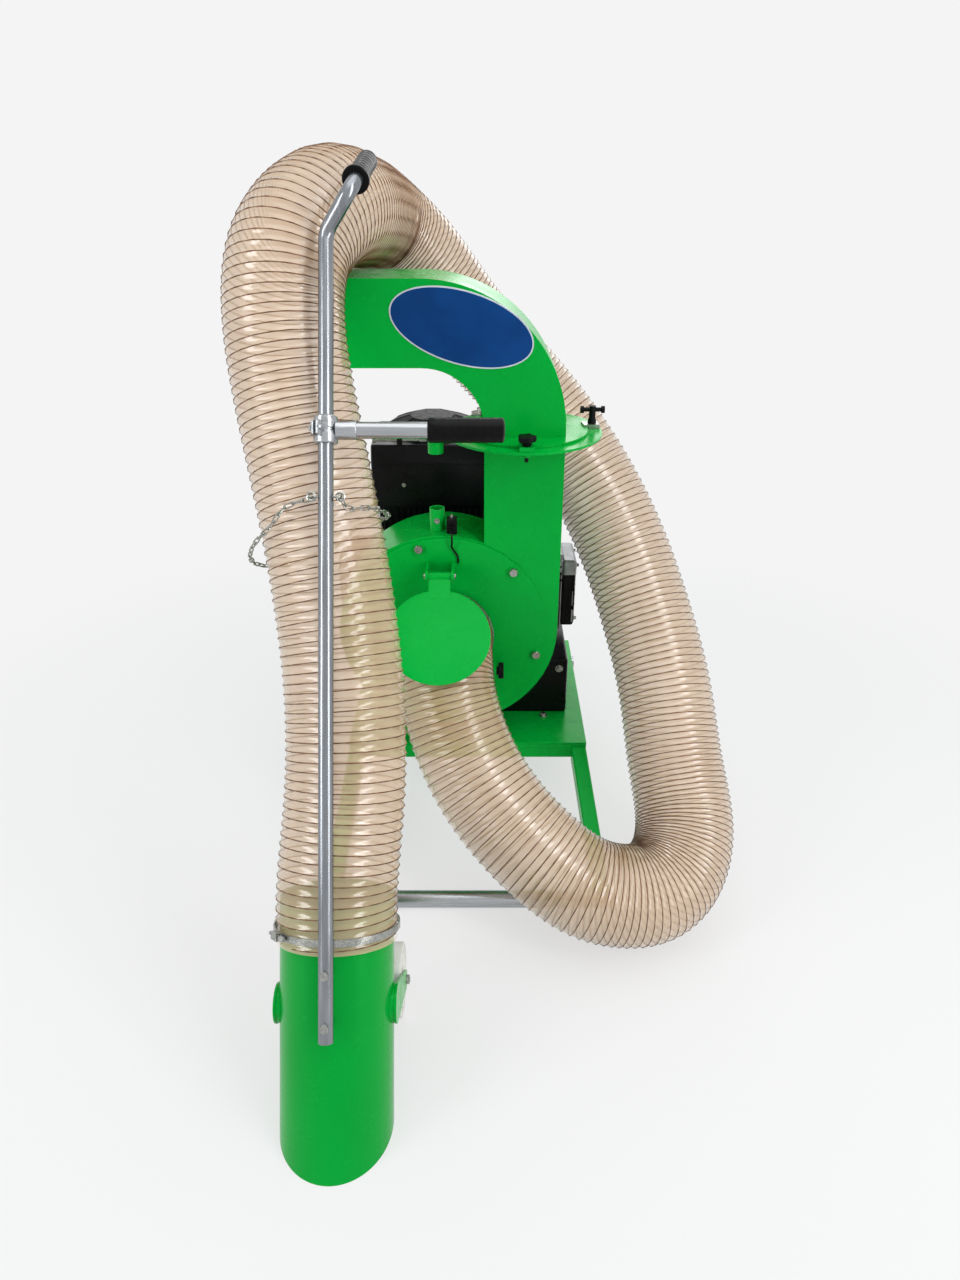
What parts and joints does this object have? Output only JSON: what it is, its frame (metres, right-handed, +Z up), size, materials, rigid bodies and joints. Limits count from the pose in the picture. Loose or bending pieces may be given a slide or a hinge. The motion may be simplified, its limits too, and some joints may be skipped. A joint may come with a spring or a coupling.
{
  "type": "leaf vacuum",
  "caption": "Engine driven leaf vacuum on a low stand: a paddle fan with a turning discharge chute, a wire reinforced suction hose and a wheeled nozzle lance.",
  "frame": {"origin": "on the floor, under the middle of the whole machine's bounding box", "axes": "+Z up, -Y towards the nozzle and the fan inlet, +X to the right seen from the nozzle's side"},
  "size_m": [0.9944, 1.701, 1.4952],
  "materials": {
    "green_paint": "gloss bright green enamel",
    "black_paint": "satin black enamel",
    "black_rubber": "matt moulded rubber",
    "black_plastic": "satin moulded plastic",
    "galvanised": "dull zinc galvanised steel",
    "zinc": "bright zinc plated steel",
    "cast_aluminium": "as-cast aluminium",
    "white_nylon": "white moulded nylon",
    "clear_hose": "translucent film over a coppered steel wire helix",
    "red_plastic": "gloss red moulded plastic"
  },
  "bodies": {
    "stand": {"fan_housing": "green_paint", "front_cover": "green_paint", "keeper_front": "green_paint", "lower_flange": "green_paint", "boom_socket": "green_paint", "nozzle": "green_paint", "wheel_bracket_left": "green_paint", "wheel_bracket_right": "green_paint", "base_frame": "green_paint", "deck_plate": "green_paint", "front_leg_left": "green_paint", "front_leg_right": "green_paint", "rear_leg_left": "green_paint", "rear_leg_right": "green_paint", "engine_riser": "black_paint", "cylinder": "black_paint", "rocker_cover": "black_paint", "cooling_shroud": "black_paint", "engine_cowl": "black_paint", "muffler": "black_paint", "switch_cable": "black_rubber", "end_grip": "black_rubber", "interlock_switch": "black_plastic", "air_cleaner_cover": "black_plastic", "fuel_tank": "black_plastic", "recoil_starter": "black_plastic", "lance_pole": "galvanised", "front_foot_bar": "galvanised", "rear_foot_bar": "galvanised", "inlet_clamp": "zinc", "flap_hinge_pin": "zinc", "keeper_right": "zinc", "keeper_rear": "zinc", "rear_keeper_bolt": "zinc", "nozzle_clamp": "zinc", "pole_bolt_lower": "zinc", "pole_bolt_upper": "zinc", "chain_eye_bolt": "zinc", "hose_chain": "zinc", "wheel_axle": "zinc", "crankcase": "cast_aluminium", "cylinder_head": "cast_aluminium", "suction_hose": "clear_hose"},
    "impeller": {"impeller": "black_paint", "crankshaft": "zinc"},
    "chute": {"discharge_chute": "green_paint"},
    "flap": {"safety_flap": "green_paint"},
    "star_knob": {"star_knob": "black_plastic"},
    "t_handle": {"t_handle": "black_plastic"},
    "inlet_knob": {"inlet_knob": "black_plastic"},
    "wheel_left": {"wheel_left": "white_nylon"},
    "wheel_right": {"wheel_right": "white_nylon"},
    "side_handle": {"tee_clamp": "galvanised", "side_tube": "galvanised", "side_grip": "black_rubber"},
    "recoil_grip": {"recoil_grip": "black_rubber"},
    "fuel_cap": {"fuel_cap": "black_plastic"},
    "plunger": {"interlock_plunger": "zinc"},
    "stop_switch": {"stop_switch": "red_plastic"},
    "throttle_rod": {"throttle_rod": "zinc"}
  },
  "joints": [
    {"name": "impeller_spin", "type": "hinge", "parent": "stand", "child": "impeller", "pos_m": [-0.1318, 0.18, 0.517], "axis": [0, 1, 0], "continuous": true},
    {"name": "chute_swivel", "type": "hinge", "parent": "stand", "child": "chute", "pos_m": [0.0377, 0.177, 0.961], "axis": [0, 0, 1], "range_deg": [0, 180]},
    {"name": "flap_hinge", "type": "hinge", "parent": "stand", "child": "flap", "pos_m": [-0.1403, 0.05, 0.68], "axis": [-1, 0, 0], "range_deg": [0, 85]},
    {"name": "star_knob_turn", "type": "hinge", "parent": "stand", "child": "star_knob", "pos_m": [0.0377, 0.03, 0.97], "axis": [0, 0, 1], "range_deg": [0, 360]},
    {"name": "t_handle_turn", "type": "hinge", "parent": "stand", "child": "t_handle", "pos_m": [0.18327, 0.19746, 0.97], "axis": [0, 0, 1], "range_deg": [0, 360]},
    {"name": "inlet_knob_turn", "type": "hinge", "parent": "stand", "child": "inlet_knob", "pos_m": [-0.0218, 0.0717, 0.433], "axis": [1, 0, 0], "range_deg": [0, 360]},
    {"name": "wheel_left_spin", "type": "hinge", "parent": "stand", "child": "wheel_left", "pos_m": [-0.3903, -0.49, 0.07], "axis": [1, 0, 0], "continuous": true},
    {"name": "wheel_right_spin", "type": "hinge", "parent": "stand", "child": "wheel_right", "pos_m": [-0.2133, -0.49, 0.07], "axis": [1, 0, 0], "continuous": true},
    {"name": "side_handle_swing", "type": "hinge", "parent": "stand", "child": "side_handle", "pos_m": [-0.3018, -0.28586, 1.08985], "axis": [0, -0.4772, -0.8788], "range_deg": [0, 40]},
    {"name": "recoil_pull", "type": "slide", "parent": "stand", "child": "recoil_grip", "axis": [-1, 0, 0], "range_m": [0, 0.45]},
    {"name": "fuel_cap_turn", "type": "hinge", "parent": "stand", "child": "fuel_cap", "pos_m": [-0.22, 0.62, 0.81], "axis": [0, 0, 1], "range_deg": [0, 90]},
    {"name": "plunger_press", "type": "slide", "parent": "stand", "child": "plunger", "axis": [0, 0, -1], "range_m": [0, 0.004], "stiffness_N_per_m": 400, "springref_m": -0.003},
    {"name": "stop_switch_rock", "type": "hinge", "parent": "stand", "child": "stop_switch", "pos_m": [0.085, 0.568, 0.29], "axis": [1, 0, 0], "range_deg": [0, 9]},
    {"name": "throttle_slide", "type": "slide", "parent": "stand", "child": "throttle_rod", "axis": [-1, 0, 0], "range_m": [0, 0.025]}
  ]
}
